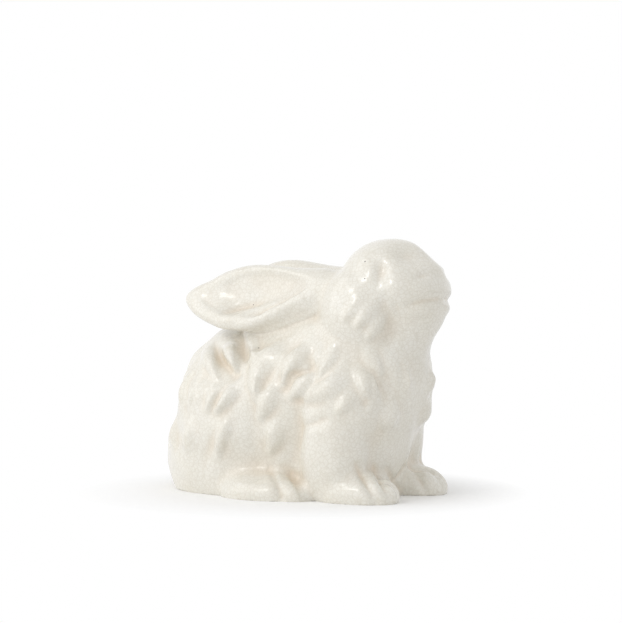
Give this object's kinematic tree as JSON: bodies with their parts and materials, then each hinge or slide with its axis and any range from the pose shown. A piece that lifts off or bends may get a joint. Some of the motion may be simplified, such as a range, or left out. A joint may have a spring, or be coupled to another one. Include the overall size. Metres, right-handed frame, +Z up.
{
  "type": "ceramic rabbit figurine",
  "caption": "Crouching rabbit ornament in glazed, crackled ceramic, ears laid back along its back, hollow cast, standing on its own foot ring and paws.",
  "frame": {"origin": "on the floor, under the middle of the figure's length and width", "axes": "+X the way the rabbit looks, +Z up, -Y its right side"},
  "size_m": [0.16, 0.1, 0.124],
  "materials": {
    "glaze": "glossy ivory glaze with a fine crackle",
    "bisque": "unglazed fired clay"
  },
  "bodies": {
    "root": {"body_casting": "glaze", "head_casting": "glaze", "right_ear": "glaze", "left_ear": "glaze", "right_foreleg": "glaze", "left_foreleg": "glaze", "right_hind_foot": "glaze", "left_hind_foot": "glaze", "tail": "glaze", "base_slab": "bisque", "neck_slip": "bisque", "base_slip": "bisque", "ear_slips": "bisque", "foreleg_slips": "bisque", "hind_foot_slips": "bisque", "tail_slip": "bisque"}
  },
  "joints": []
}
